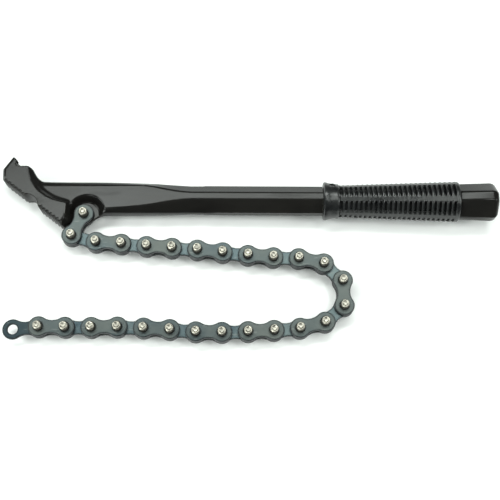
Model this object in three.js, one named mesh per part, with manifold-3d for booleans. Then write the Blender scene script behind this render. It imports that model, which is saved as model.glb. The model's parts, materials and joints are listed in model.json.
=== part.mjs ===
// Chain-type oil filter wrench: a one-piece forged handle with a toothed jaw and a slotted hook, a ribbed
// grip sleeve, and a pinned leaf chain whose long pin ends drop into the hook.
// Millimetres, +Z up. The wrench lies flat with its handle along +X and the chain on its -Y side.
import * as THREE from 'three';
import { mergeVertices } from 'three/addons/utils/BufferGeometryUtils.js';
import Module from 'manifold-3d';

const wasm = await Module();
wasm.setup();

// ---- Driving dimensions ----
const PITCH = 15.875; // 5/8 in chain
const OUTER_LINKS = 13;
const PLATE_THICKNESS = 2.2;
const PLATE_GAP = 0.3;
const HEAD_RADIUS = 6.25;
const WAIST_HALF = 4.0;
const PIN_RADIUS = 2.54;
const PIN_PROUD = 4.7; // beyond each outer plate
const RUNNING_CLEARANCE = 0.3;
const EYE_RADIUS = 3.05;

const JAW_HALF = 7.8;
const JAW_EDGE_HALF = 5.0; // where the jaw's sloped rim meets its upright edge
const TOOTH_DEPTH = 1.0;
const TONGUE_CLEARANCE = 0.6; // to each outer plate
const TONGUE_RADIUS = 6.6;
const POCKET_CLEARANCE = 2.35; // round the first link's head
const POCKET_WALL_CLEARANCE = 0.75; // between that head and the jaw
const POCKET_DRAFT = 3; // how far the round wall leans back
const POCKET_WALL_DRAFT = 2.2;
const POCKET_OFFSET = 1.4;
const SLOT_CLEARANCE = 0.4;
const SLOT_FLOOR = { x: -33.6, y: 27.7, slope: 10 };
const JAW_END = { x: -10.6, y: -7.0 };
const LAND_FROM = { x: -52.4, y: 21.6 };
const LAND_TO = { x: -13.2, y: -8.0 };
const RELIEF = { x: -35.7, y: 3.9, radius: 7.1 };

const AXIS_Y = 10.1; // handle axis above the anchor pin
const SHANK_HALF = 9.0;
const SHANK_FLAT_HALF = 2.35;
const SHANK_START = 67;
const SHANK_LENGTH = 83.3;
const TANG_HALF = 7.4;
const BUTT_LENGTH = 24.4;
const BUTT_HALF = 10.8;
const BUTT_END_HALF = 11.6;
const BUTT_FLAT_HALF = 2.6;
const BUTT_ROUNDING = 3;

const GRIP_LENGTH = 85.3;
const GRIP_WALL = 0.9; // under the first groove
const GRIP_TAPER = 2.5; // how much larger the last rib is than the first
const COLLAR_RISE = 0.6; // of the collar's waist over the first rib
const COLLAR_FLARE = 1.2;
const COLLAR_LENGTH = 10;
const COLLAR_CHAMFER = 1.2;
const RIB_COUNT = 24;
const RIB_DEPTH = 1.2;
const GRIP_SIDES = 16;

const JAW_REST_X = -45; // the jaw's flat side touches the table here, and so does the grip's collar
const CHAIN_DROP = 0.3; // play of the first link on its tongue
const HANDLE_HEADING = -0.4;
const STEP = 0.01; // length of a square shoulder, where two sections would share one place
const ROUND_SIDES = 10;
const HEAD_STEPS = 8;
const WAIST_STEPS = 3;

// The lie of the chain: each link's heading in degrees, clockwise from +X, from the anchor to the end eye.
const HEADINGS = [
  116, 15, 4, 5, 4, 4, 6, 6, 5, 2, 12, 44, 88,
  139, 166, 175, 177, 178, 181, 185, 183, 182, 179, 180, 181, 175,
];

// The blade's eight-sided sections, from inside the jaw to where the shank starts.
const BLADE_SECTIONS = [
  { x: -31, top: 21.2, bottom: 13, half: 4.8, topFlat: 19, bottomFlat: 14, upright: 3 },
  { x: -22, top: 21.1, bottom: 0.6, half: 5, topFlat: 18.6, bottomFlat: 2.2, upright: 3 },
  { x: 12, top: 20.9, bottom: 0.3, half: 5.9, topFlat: 18.5, bottomFlat: 1.9, upright: 3.6 },
  { x: 38, top: 20.4, bottom: 0.5, half: 7.3, topFlat: 18.4, bottomFlat: 3.9, upright: 3.6 },
  { x: 54, top: 19.6, bottom: 0.8, half: 8.2, topFlat: 14.9, bottomFlat: 6.6, upright: 2.8 },
];

// ---- Derived dimensions ----
const OUTER_PLATE_Z = PLATE_THICKNESS / 2 + PLATE_GAP;
const CHAIN_HALF_WIDTH = OUTER_PLATE_Z + PLATE_THICKNESS;
const TONGUE_HALF = OUTER_PLATE_Z - TONGUE_CLEARANCE;
const PIN_HALF_LENGTH = CHAIN_HALF_WIDTH + PIN_PROUD;
const HOLE_RADIUS = (PIN_RADIUS + RUNNING_CLEARANCE) / Math.cos(Math.PI / ROUND_SIDES);
const GRIP_START = SHANK_START + SHANK_LENGTH + RUNNING_CLEARANCE;
const GRIP_END = GRIP_START + GRIP_LENGTH;
const BUTT_START = GRIP_END + RUNNING_CLEARANCE;
const BUTT_END = BUTT_START + BUTT_LENGTH;
const TANG_RADIUS = Math.hypot(TANG_HALF, SHANK_FLAT_HALF);
const GRIP_BORE = (TANG_RADIUS + RUNNING_CLEARANCE) / Math.cos(Math.PI / GRIP_SIDES);
const RIB_START_RADIUS = GRIP_BORE + GRIP_WALL + RIB_DEPTH;
const RIB_END_RADIUS = RIB_START_RADIUS + GRIP_TAPER;
const COLLAR_WAIST_RADIUS = RIB_START_RADIUS + COLLAR_RISE;
const COLLAR_RADIUS = COLLAR_WAIST_RADIUS + COLLAR_FLARE;
const POCKET_FLOOR_RADIUS = HEAD_RADIUS + POCKET_CLEARANCE;
const POCKET_WALL_X = -(HEAD_RADIUS + POCKET_WALL_CLEARANCE);
const HANDLE_TILT = Math.atan(
  (COLLAR_RADIUS - JAW_HALF) / (GRIP_START + COLLAR_CHAMFER - JAW_REST_X),
);
const ANCHOR_HEIGHT = JAW_HALF - JAW_REST_X * Math.tan(HANDLE_TILT);
const CHAIN_HEIGHT = ANCHOR_HEIGHT - CHAIN_DROP;

// ---- Materials ----
const gloss = new THREE.MeshStandardMaterial({ color: 0x242223, roughness: 0.3, metalness: 0.2 });
const rubber = new THREE.MeshStandardMaterial({ color: 0x2b2c2d, roughness: 0.6, metalness: 0 });
const plateSteel = new THREE.MeshStandardMaterial({ color: 0x69767a, roughness: 0.4, metalness: 0.9 });
const innerSteel = new THREE.MeshStandardMaterial({ color: 0x829ba5, roughness: 0.35, metalness: 0.9 });
const pinnedSteel = new THREE.MeshStandardMaterial({ color: 0x8a8f8c, roughness: 0.35, metalness: 0.9 });

// ---- Solids ----
function solidOf(geometry) {
  geometry.deleteAttribute('normal');
  geometry.deleteAttribute('uv');
  const merged = mergeVertices(geometry, 1e-4);
  return new wasm.Manifold(new wasm.Mesh({
    numProp: 3,
    vertProperties: new Float32Array(merged.attributes.position.array),
    triVerts: new Uint32Array(merged.index.array),
  }));
}

function geometryOf(solid) {
  const mesh = solid.getMesh();
  const geometry = new THREE.BufferGeometry();
  geometry.setAttribute('position', new THREE.BufferAttribute(mesh.vertProperties, 3));
  geometry.setIndex(new THREE.BufferAttribute(mesh.triVerts, 1));
  geometry.computeVertexNormals();
  return geometry;
}

// A closed skin over a row of loops with equal point counts. `flatten` gives the 2-D view that caps the ends.
function loft(loops, flatten) {
  const count = loops[0].length;
  const positions = loops.flat().flatMap((point) => [point.x, point.y, point.z]);
  const index = [];
  for (let row = 0; row + 1 < loops.length; row += 1) {
    for (let k = 0; k < count; k += 1) {
      const a = row * count + k;
      const b = row * count + ((k + 1) % count);
      index.push(a, b, b + count, a, b + count, a + count);
    }
  }
  const last = (loops.length - 1) * count;
  for (const [a, b, c] of THREE.ShapeUtils.triangulateShape(loops[0].map(flatten), [])) {
    index.push(a, c, b);
  }
  for (const [a, b, c] of THREE.ShapeUtils.triangulateShape(loops.at(-1).map(flatten), [])) {
    index.push(last + a, last + b, last + c);
  }
  const geometry = new THREE.BufferGeometry();
  geometry.setAttribute('position', new THREE.Float32BufferAttribute(positions, 3));
  geometry.setIndex(index);
  return solidOf(geometry);
}

// A prism between two heights from an outline drawn in X and Y.
function prism(shape, low, high) {
  const geometry = new THREE.ExtrudeGeometry(shape, { depth: high - low, bevelEnabled: false });
  geometry.translate(0, 0, low);
  return solidOf(geometry);
}

function roundBar(radius, half, x = 0, y = 0) {
  const geometry = new THREE.CylinderGeometry(radius, radius, 2 * half, ROUND_SIDES);
  geometry.rotateX(Math.PI / 2).translate(x, y, 0);
  return solidOf(geometry);
}

// ---- Forged handle: jaw, tongue, blade, shank, tang and butt. Its origin is the anchor pin. ----
// The working edge of one land, cut into teeth.
function landPoints(from, to, teeth) {
  const along = to.clone().sub(from).divideScalar(teeth);
  const inward = new THREE.Vector2(-along.y, along.x).setLength(TOOTH_DEPTH);
  const points = [];
  for (let tooth = 0; tooth < teeth; tooth += 1) {
    const tip = from.clone().addScaledVector(along, tooth + 0.35);
    const root = from.clone().addScaledVector(along, tooth + 1).add(inward);
    points.push(tip, root);
  }
  return points;
}

// The jaw's outline. `flare` is 0 on its flat sides and 1 where the sloped rim ends.
function jawOutline(flare) {
  const slide = (x0, y0, x1 = x0, y1 = y0) => (
    new THREE.Vector2(x0 + (x1 - x0) * flare, y0 + (y1 - y0) * flare)
  );
  const throat = new THREE.CubicBezierCurve(
    slide(JAW_END.x, 5.7, -8.4, 7.0),
    slide(-26, 8, -21.5, 10),
    slide(-34.2, 16, -31, 17),
    slide(-36.3, 29.7, -33.6, 28.6),
  ).getPoints(8);
  const nose = [
    slide(-38.1, 30.4, -37.6, 30.5),
    slide(-42.3, 30.4),
    slide(-43.6, 31.2),
    slide(-44.3, 32.2),
    slide(-43.7, 33.5, -43.5, 33.4),
    slide(-46.2, 35.6, -47.0, 36.9),
    slide(-51.0, 28.2, -52.9, 28.8),
  ];
  const { radius } = RELIEF;
  const relief = new THREE.EllipseCurve(RELIEF.x, RELIEF.y, radius, radius, 1.88, 0.06, true);
  const firstLand = landPoints(slide(-50.5, 20.1, LAND_FROM.x, LAND_FROM.y), slide(-37.9, 10.4), 6);
  const secondLand = landPoints(slide(-28.5, 3.4), slide(LAND_TO.x, LAND_TO.y), 7);
  return [
    slide(JAW_END.x, JAW_END.y), ...throat, ...nose, ...firstLand, ...relief.getPoints(6), ...secondLand,
  ];
}

function makeJaw() {
  const levels = [[-JAW_HALF, 0], [-JAW_EDGE_HALF, 1], [JAW_EDGE_HALF, 1], [JAW_HALF, 0]];
  const loops = levels.map(([z, flare]) => jawOutline(flare).map((p) => new THREE.Vector3(p.x, p.y, z)));
  return loft(loops, (p) => new THREE.Vector2(p.x, p.y));
}

// One eight-sided cross-section of the handle bar, in Y and Z.
function barSection({ x, top, bottom, half, topFlat, bottomFlat, upright }) {
  const corners = [
    [top, -upright], [top, upright], [topFlat, half], [bottomFlat, half],
    [bottom, upright], [bottom, -upright], [bottomFlat, -half], [topFlat, -half],
  ];
  return corners.map(([y, z]) => new THREE.Vector3(x, y, z));
}

function octagonSection(x, half, flatHalf = SHANK_FLAT_HALF) {
  return barSection({
    x, half, upright: flatHalf,
    top: AXIS_Y + half, bottom: AXIS_Y - half,
    topFlat: AXIS_Y + flatHalf, bottomFlat: AXIS_Y - flatHalf,
  });
}

function makeBar() {
  const shankEnd = SHANK_START + SHANK_LENGTH;
  const corner = BUTT_ROUNDING * (1 - Math.SQRT1_2);
  const sections = [
    ...BLADE_SECTIONS.map(barSection),
    octagonSection(SHANK_START, SHANK_HALF),
    octagonSection(shankEnd, SHANK_HALF),
    octagonSection(shankEnd + STEP, TANG_HALF),
    octagonSection(BUTT_START - STEP, TANG_HALF),
    octagonSection(BUTT_START, BUTT_HALF, BUTT_FLAT_HALF),
    octagonSection(BUTT_END - BUTT_ROUNDING, BUTT_END_HALF, BUTT_FLAT_HALF),
    octagonSection(BUTT_END - corner, BUTT_END_HALF - corner, BUTT_FLAT_HALF),
    octagonSection(BUTT_END, BUTT_END_HALF - BUTT_ROUNDING, BUTT_FLAT_HALF),
  ];
  return loft(sections, (p) => new THREE.Vector2(p.y, p.z));
}

// The recess on one side of the tongue, with sloped walls, open towards -Y.
function makePocket(side) {
  const low = TONGUE_HALF;
  const high = JAW_HALF + 1;
  const below = -2 * HEAD_RADIUS; // past the handle's lower edge
  const loopAt = (z) => {
    const lean = (z - TONGUE_HALF) / (JAW_EDGE_HALF - TONGUE_HALF);
    const radius = POCKET_FLOOR_RADIUS + POCKET_DRAFT * lean;
    const arc = new THREE.EllipseCurve(POCKET_OFFSET, 0, radius, radius, 0, Math.PI * 0.9, false);
    const wall = POCKET_WALL_X - POCKET_WALL_DRAFT * lean;
    const outline = [
      ...arc.getPoints(10),
      new THREE.Vector2(wall, 1.5),
      new THREE.Vector2(wall, -2 - lean),
      new THREE.Vector2(wall - 1.6, -5.8 - lean),
      new THREE.Vector2(wall - 8, below),
      new THREE.Vector2(POCKET_OFFSET + radius, below),
    ];
    return outline.map((p) => new THREE.Vector3(p.x, p.y, side * z));
  };
  const loops = [loopAt(low), loopAt(high)];
  return loft(side > 0 ? loops : loops.reverse(), (p) => new THREE.Vector2(p.x, p.y));
}

// The gap between the two cheeks, where the chain passes over the jaw.
function makeSlot() {
  const half = CHAIN_HALF_WIDTH + SLOT_CLEARANCE;
  const cutter = new THREE.BoxGeometry(60, 30, 2 * half);
  cutter.translate(0, 15, 0);
  cutter.rotateZ(THREE.MathUtils.degToRad(SLOT_FLOOR.slope));
  cutter.translate(SLOT_FLOOR.x, SLOT_FLOOR.y, 0);
  return solidOf(cutter);
}

function makeHandle() {
  const tongue = roundBar(TONGUE_RADIUS, TONGUE_HALF);
  const reach = POCKET_FLOOR_RADIUS + POCKET_DRAFT + POCKET_OFFSET + 1;
  const bridge = new THREE.Shape([
    new THREE.Vector2(JAW_END.x, -4),
    new THREE.Vector2(0, -TONGUE_RADIUS),
    new THREE.Vector2(reach, 1),
    new THREE.Vector2(reach, reach),
    new THREE.Vector2(JAW_END.x, reach),
  ]);
  return makeJaw()
    .add(makeBar())
    .subtract(makePocket(1))
    .subtract(makePocket(-1))
    .add(tongue)
    .add(prism(bridge, -TONGUE_HALF, TONGUE_HALF))
    .subtract(roundBar(HOLE_RADIUS, JAW_HALF + 1))
    .subtract(makeSlot());
}

// ---- Grip sleeve, turned about the handle axis ----
function makeGrip() {
  const ribsStart = GRIP_START + COLLAR_LENGTH + 1.5;
  const ribPitch = (GRIP_END - ribsStart) / RIB_COUNT;
  const profile = [
    [GRIP_BORE, GRIP_START],
    [COLLAR_RADIUS - COLLAR_CHAMFER, GRIP_START],
    [COLLAR_RADIUS, GRIP_START + COLLAR_CHAMFER],
    [COLLAR_WAIST_RADIUS, GRIP_START + COLLAR_LENGTH],
    [RIB_START_RADIUS - RIB_DEPTH, ribsStart - COLLAR_RISE],
  ];
  for (let rib = 0; rib < RIB_COUNT; rib += 1) {
    const start = ribsStart + rib * ribPitch;
    const radius = THREE.MathUtils.lerp(RIB_START_RADIUS, RIB_END_RADIUS, rib / (RIB_COUNT - 1));
    profile.push([radius, start], [radius, start + ribPitch * 0.55]);
    if (rib + 1 < RIB_COUNT) {
      profile.push([radius - RIB_DEPTH, start + ribPitch * 0.78]);
    }
  }
  profile.push([RIB_END_RADIUS - RIB_DEPTH, GRIP_END], [GRIP_BORE, GRIP_END], [GRIP_BORE, GRIP_START]);
  const points = profile.map(([radius, along]) => new THREE.Vector2(radius, along));
  const geometry = new THREE.LatheGeometry(points, GRIP_SIDES);
  geometry.rotateZ(-Math.PI / 2).translate(0, AXIS_Y, 0);
  return solidOf(geometry);
}

// ---- Chain plates and pins. A link's origin is its first pin, and the link runs along +X. ----
function arcPoints(x, y, radius, from, to, steps) {
  const points = new THREE.EllipseCurve(x, y, radius, radius, from, to, to < from).getPoints(steps);
  return points.slice(0, -1);
}

// A waisted plate: two round heads joined by hollow arcs that meet the heads smoothly.
function plate(holes, low) {
  const middle = PITCH / 2;
  const waistRadius = (middle ** 2 + WAIST_HALF ** 2 - HEAD_RADIUS ** 2) / (2 * (HEAD_RADIUS - WAIST_HALF));
  const rise = WAIST_HALF + waistRadius;
  const meet = Math.atan2(rise, middle);
  const shape = new THREE.Shape([
    ...arcPoints(PITCH, 0, HEAD_RADIUS, meet - Math.PI, Math.PI - meet, HEAD_STEPS),
    ...arcPoints(middle, rise, waistRadius, -meet, meet - Math.PI, WAIST_STEPS),
    ...arcPoints(0, 0, HEAD_RADIUS, meet, 2 * Math.PI - meet, HEAD_STEPS),
    ...arcPoints(middle, -rise, waistRadius, Math.PI - meet, meet, WAIST_STEPS),
  ]);
  shape.holes = holes.map(([x, radius]) => (
    new THREE.Path(arcPoints(x, 0, radius, 2 * Math.PI, 0, ROUND_SIDES))
  ));
  return prism(shape, low, low + PLATE_THICKNESS);
}

const pinHoles = [[0, HOLE_RADIUS], [PITCH, HOLE_RADIUS]];
const eyeHoles = [[0, HOLE_RADIUS], [PITCH, EYE_RADIUS]];
const pinPlateGeometry = geometryOf(
  plate([], -CHAIN_HALF_WIDTH)
    .add(roundBar(PIN_RADIUS, PIN_HALF_LENGTH))
    .add(roundBar(PIN_RADIUS, PIN_HALF_LENGTH, PITCH)),
);
const coverPlateGeometry = geometryOf(plate(pinHoles, OUTER_PLATE_Z));
const innerPlateGeometry = geometryOf(plate(pinHoles, -PLATE_THICKNESS / 2));
const endPlateGeometry = geometryOf(plate(eyeHoles, -PLATE_THICKNESS / 2));

// ---- Assembly ----
const wrench = new THREE.Group();

function addMesh(parent, name, geometry, material) {
  const mesh = new THREE.Mesh(geometry, material);
  mesh.name = name;
  parent.add(mesh);
}

const handle = new THREE.Group();
handle.position.z = ANCHOR_HEIGHT;
handle.rotation.set(0, -HANDLE_TILT, THREE.MathUtils.degToRad(HANDLE_HEADING), 'ZYX');
addMesh(handle, 'handle_forging', geometryOf(makeHandle()), gloss);
addMesh(handle, 'grip_sleeve', geometryOf(makeGrip()), rubber);
wrench.add(handle);

const pinPlace = new THREE.Vector3(0, 0, CHAIN_HEIGHT);
for (let number = 1; number <= HEADINGS.length; number += 1) {
  const heading = -THREE.MathUtils.degToRad(HEADINGS[number - 1]);
  const link = new THREE.Group();
  link.position.copy(pinPlace);
  link.rotation.z = heading;
  const label = String(Math.ceil(number / 2)).padStart(2, '0');
  if (number % 2 === 1) {
    addMesh(link, `outer_link_${label}_pin_plate`, pinPlateGeometry, pinnedSteel);
    addMesh(link, `outer_link_${label}_cover_plate`, coverPlateGeometry, plateSteel);
  } else if (number < 2 * OUTER_LINKS) {
    addMesh(link, `inner_link_${label}`, innerPlateGeometry, innerSteel);
  } else {
    addMesh(link, 'end_link', endPlateGeometry, innerSteel);
  }
  wrench.add(link);
  pinPlace.add(new THREE.Vector3(Math.cos(heading), Math.sin(heading), 0).multiplyScalar(PITCH));
}

// The wrench is centred on the origin and stands on Z = 0.
wrench.updateMatrixWorld(true);
const box = new THREE.Box3().setFromObject(wrench, true);
wrench.position.set(-(box.min.x + box.max.x) / 2, -(box.min.y + box.max.y) / 2, -box.min.z);

export default wrench;
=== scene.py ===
"""Looks of a chain-type oil filter wrench: a forged handle, a ribbed grip and a pinned leaf chain.

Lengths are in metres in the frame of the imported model: +X runs along the handle to its butt, +Y points away
from the chain and +Z up from the table. Each class says its sizes in millimetres, as a maker would, and
scales them as it builds.
"""

import json
import logging
import math
from collections.abc import Callable, Iterator
from contextlib import contextmanager
from dataclasses import dataclass
from enum import Enum

import bmesh
import bpy
import numpy as np
from mathutils import Matrix, Vector


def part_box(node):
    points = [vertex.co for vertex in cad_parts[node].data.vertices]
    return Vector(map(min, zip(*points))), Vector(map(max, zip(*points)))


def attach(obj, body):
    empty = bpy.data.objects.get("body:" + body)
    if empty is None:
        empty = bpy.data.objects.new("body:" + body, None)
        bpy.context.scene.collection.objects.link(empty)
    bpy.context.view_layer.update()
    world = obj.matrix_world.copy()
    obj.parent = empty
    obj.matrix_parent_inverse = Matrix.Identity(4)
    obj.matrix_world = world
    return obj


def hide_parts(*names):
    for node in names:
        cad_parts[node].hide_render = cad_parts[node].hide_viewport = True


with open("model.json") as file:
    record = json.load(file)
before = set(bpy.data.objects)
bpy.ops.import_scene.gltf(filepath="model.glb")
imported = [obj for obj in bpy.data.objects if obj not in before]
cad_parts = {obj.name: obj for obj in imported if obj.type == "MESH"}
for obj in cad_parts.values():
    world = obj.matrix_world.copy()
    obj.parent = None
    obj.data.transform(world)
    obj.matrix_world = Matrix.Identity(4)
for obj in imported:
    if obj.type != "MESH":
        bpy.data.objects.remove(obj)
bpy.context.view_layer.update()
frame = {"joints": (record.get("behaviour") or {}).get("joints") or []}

MM = 0.001

# How near two points of the forging count as one, in metres.
CUT_REACH = 1e-5
SEAM_REACH = 2e-5
WELD_REACH = 4e-5

Colour = tuple[float, float, float]
Corner = tuple[float, float]
Ring = tuple[float, float, bool]
Element = bmesh.types.BMFace | bmesh.types.BMEdge

log = logging.getLogger("wrench")


# ---- Bench work: small helpers around Blender's own tools ----
def clear_selection() -> None:
    """Deselects everything, so that the next tool works on one piece."""
    for thing in list(bpy.context.selected_objects):
        thing.select_set(False)


def take(piece: bpy.types.Object) -> None:
    """Makes one piece the only selected and active one.

    Args:
        piece: The object to work on.
    """
    clear_selection()
    piece.select_set(True)
    bpy.context.view_layer.objects.active = piece


def adopt(name: str) -> bpy.types.Object:
    """Names the primitive that was just added.

    Args:
        name: The piece's name, which its mesh gets as well.

    Returns:
        The new object.
    """
    piece = bpy.context.active_object
    piece.name = name
    piece.data.name = name
    return piece


@contextmanager
def edit_mode(piece: bpy.types.Object) -> Iterator[bmesh.types.BMesh]:
    """Opens a piece in edit mode with nothing selected and closes it again.

    Args:
        piece: The mesh object to edit.

    Yields:
        The mesh as the edit tools see it.
    """
    take(piece)
    bpy.ops.object.mode_set(mode="EDIT")
    bpy.ops.mesh.select_all(action="DESELECT")
    try:
        yield bmesh.from_edit_mesh(piece.data)
    finally:
        bpy.ops.object.mode_set(mode="OBJECT")


def pick(piece: bpy.types.Object, kind: str, test: Callable[[Element], bool]) -> None:
    """Selects the faces or the edges that pass a test.

    Args:
        piece: The object that is open in edit mode.
        kind: FACE or EDGE.
        test: Says whether a face or an edge is wanted.
    """
    bpy.ops.mesh.select_mode(type=kind)
    bpy.ops.mesh.select_all(action="DESELECT")
    work = bmesh.from_edit_mesh(piece.data)
    for element in [e for e in (work.faces if kind == "FACE" else work.edges) if test(e)]:
        element.select_set(True)
    bmesh.update_edit_mesh(piece.data)


def apply_modifier(piece: bpy.types.Object, kind: str, **settings: object) -> None:
    """Adds a modifier with its settings and applies it.

    Args:
        piece: The object that gets it.
        kind: The modifier's type, such as BEVEL.
        settings: Its properties.
    """
    take(piece)
    bpy.ops.object.modifier_add(type=kind)
    modifier = piece.modifiers[-1]
    for key, value in settings.items():
        setattr(modifier, key, value)
    bpy.ops.object.modifier_apply(modifier=modifier.name)


def cut_with(piece: bpy.types.Object, tool: bpy.types.Object) -> None:
    """Cuts a closed tool shape out of a piece and throws the tool away.

    Args:
        piece: The object that is cut.
        tool: The shape to take away.
    """
    apply_modifier(piece, "BOOLEAN", operation="DIFFERENCE", solver="EXACT", object=tool)
    bpy.data.objects.remove(tool)


def tidy_normals(piece: bpy.types.Object, reach: float = 1e-6) -> None:
    """Merges doubled points and turns every face outwards.

    Args:
        piece: The closed mesh object.
        reach: How near two points must be to merge, in metres.
    """
    with edit_mode(piece):
        bpy.ops.mesh.select_all(action="SELECT")
        bpy.ops.mesh.remove_doubles(threshold=reach)
        bpy.ops.mesh.normals_make_consistent(inside=False)


def smooth(piece: bpy.types.Object, degrees: float) -> None:
    """Shades a piece smooth, but for edges sharper than an angle.

    Args:
        piece: The object to shade.
        degrees: The sharpest angle that is still shaded smooth.
    """
    take(piece)
    bpy.ops.object.shade_smooth_by_angle(angle=math.radians(degrees))


def copy_of(piece: bpy.types.Object, name: str, place: Matrix) -> bpy.types.Object:
    """Copies a piece with a mesh of its own and puts its place in that mesh.

    Args:
        piece: The pattern piece.
        name: The copy's name.
        place: Where the copy goes.

    Returns:
        The copy, whose object sits at the origin.
    """
    take(piece)
    bpy.ops.object.duplicate(linked=False)
    fresh = adopt(name)
    fresh.data.transform(place)
    return fresh


def read_points(piece: bpy.types.Object) -> np.ndarray:
    """Reads a mesh's points.

    Args:
        piece: The mesh object.

    Returns:
        The points, one row each, in metres.
    """
    points = np.zeros(len(piece.data.vertices) * 3)
    piece.data.vertices.foreach_get("co", points)
    return points.reshape(-1, 3)


def write_points(piece: bpy.types.Object, points: np.ndarray) -> None:
    """Moves a mesh's points.

    Args:
        piece: The mesh object.
        points: Their new places, one row each, in metres.
    """
    piece.data.vertices.foreach_set("co", points.ravel())


def join(piece: bpy.types.Object, other: bpy.types.Object) -> None:
    """Joins a second piece into the first.

    Args:
        piece: The piece that stays.
        other: The piece that becomes part of it.
    """
    take(piece)
    other.select_set(True)
    bpy.ops.object.join()


def soft_min(a: np.ndarray, b: np.ndarray, reach: float) -> np.ndarray:
    """The smaller of two heights, with a rounded meeting line.

    Args:
        a: One height at each point.
        b: The other height.
        reach: How far from equal the rounding starts.

    Returns:
        The blended height.
    """
    near = np.maximum(reach - np.abs(a - b), 0.0)
    return np.minimum(a, b) - near * near / (4 * reach)


def soft_max(a: np.ndarray, b: np.ndarray, reach: float) -> np.ndarray:
    """The larger of two heights, with a filleted meeting line.

    Args:
        a: One height at each point.
        b: The other height.
        reach: How far from equal the fillet starts.

    Returns:
        The blended height.
    """
    return -soft_min(-a, -b, reach)


def gap_to_outline(points: np.ndarray, outline: np.ndarray) -> np.ndarray:
    """The distance from points to a closed outline.

    Args:
        points: The points, one row each.
        outline: The outline's corners in order.

    Returns:
        The distance of each point to the nearest side.
    """
    ends = np.roll(outline, -1, axis=0)
    best = np.full(len(points), np.inf)
    for start, end in zip(outline, ends):
        along = end - start
        share = np.clip(((points - start) @ along) / max(along @ along, 1e-12), 0, 1)
        best = np.minimum(best, np.linalg.norm(points - start - share[:, None] * along, axis=1))
    return best


def signed_gap(points: np.ndarray, outline: np.ndarray) -> np.ndarray:
    """The distance from points to a closed outline, negative inside it.

    Args:
        points: The points, one row each.
        outline: The outline's corners in order.

    Returns:
        The signed distance of each point.
    """
    inside = np.zeros(len(points), bool)
    for (x0, y0), (x1, y1) in zip(outline, np.roll(outline, -1, axis=0)):
        crosses = (y0 > points[:, 1]) != (y1 > points[:, 1])
        with np.errstate(divide="ignore", invalid="ignore"):
            where = (x1 - x0) * (points[:, 1] - y0) / (y1 - y0) + x0
        inside ^= crosses & (points[:, 0] < where)
    gap = gap_to_outline(points, outline)
    return np.where(inside, -gap, gap)


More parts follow.
